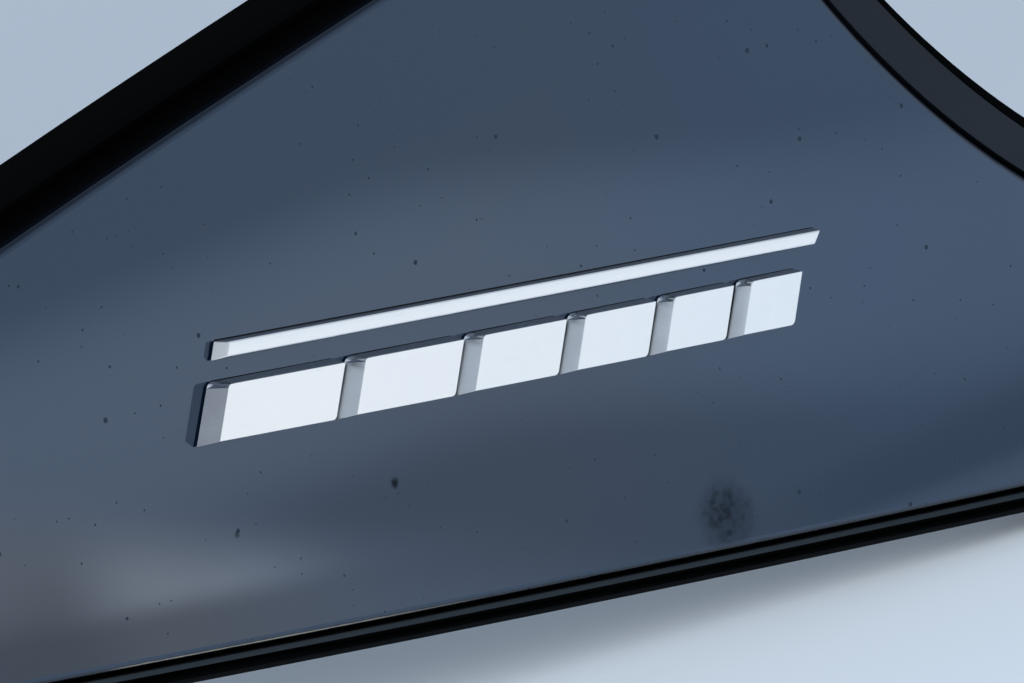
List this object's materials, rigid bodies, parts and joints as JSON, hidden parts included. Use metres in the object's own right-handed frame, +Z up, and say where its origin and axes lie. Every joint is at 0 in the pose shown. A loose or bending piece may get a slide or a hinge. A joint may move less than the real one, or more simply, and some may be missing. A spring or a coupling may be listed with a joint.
{
  "type": "rear quarter pillar trim panel",
  "caption": "Gloss rear quarter pillar panel of a coupe on a ribbed carrier, with edge seals, a window moulding, a chrome ornament, clips and studs.",
  "frame": {"origin": "where the round locator pin leaves its seat, straight behind the middle of the ornament", "axes": "+X towards the front of the car, +Y inboard along the locator pin, +Z up; the gloss face looks to -Y"},
  "size_m": [0.4382, 0.0725, 0.1703],
  "materials": {
    "gloss_black": "high-gloss clear-coated black plastic",
    "carrier_black": "moulded black glass-filled plastic",
    "matte_black": "fine-grained matte black",
    "rubber": "extruded weatherstrip rubber",
    "foam": "closed-cell foam",
    "tape": "black acrylic foam tape",
    "chrome": "bright chrome on plastic",
    "nylon": "natural nylon",
    "zinc_steel": "zinc-plated steel"
  },
  "bodies": {
    "root": {"skin": "gloss_black", "carrier": "carrier_black", "gasket": "foam", "belt_seal": "rubber", "roof_seal": "rubber", "window_moulding": "matte_black", "glass_lip": "rubber", "ornament_bar": "chrome", "ornament_blade_1": "chrome", "ornament_blade_2": "chrome", "ornament_blade_3": "chrome", "ornament_blade_4": "chrome", "ornament_blade_5": "chrome", "ornament_blade_6": "chrome", "ornament_tape": "tape", "clip_belt_rear": "nylon", "clip_belt_middle": "nylon", "clip_belt_front": "nylon", "clip_belt_nose": "nylon", "clip_roof_rear": "nylon", "clip_roof_front": "nylon", "stud_rear": "zinc_steel", "stud_top": "zinc_steel", "stud_nose": "zinc_steel", "pad_rear": "foam", "pad_middle": "foam", "pad_front": "foam"}
  },
  "joints": []
}
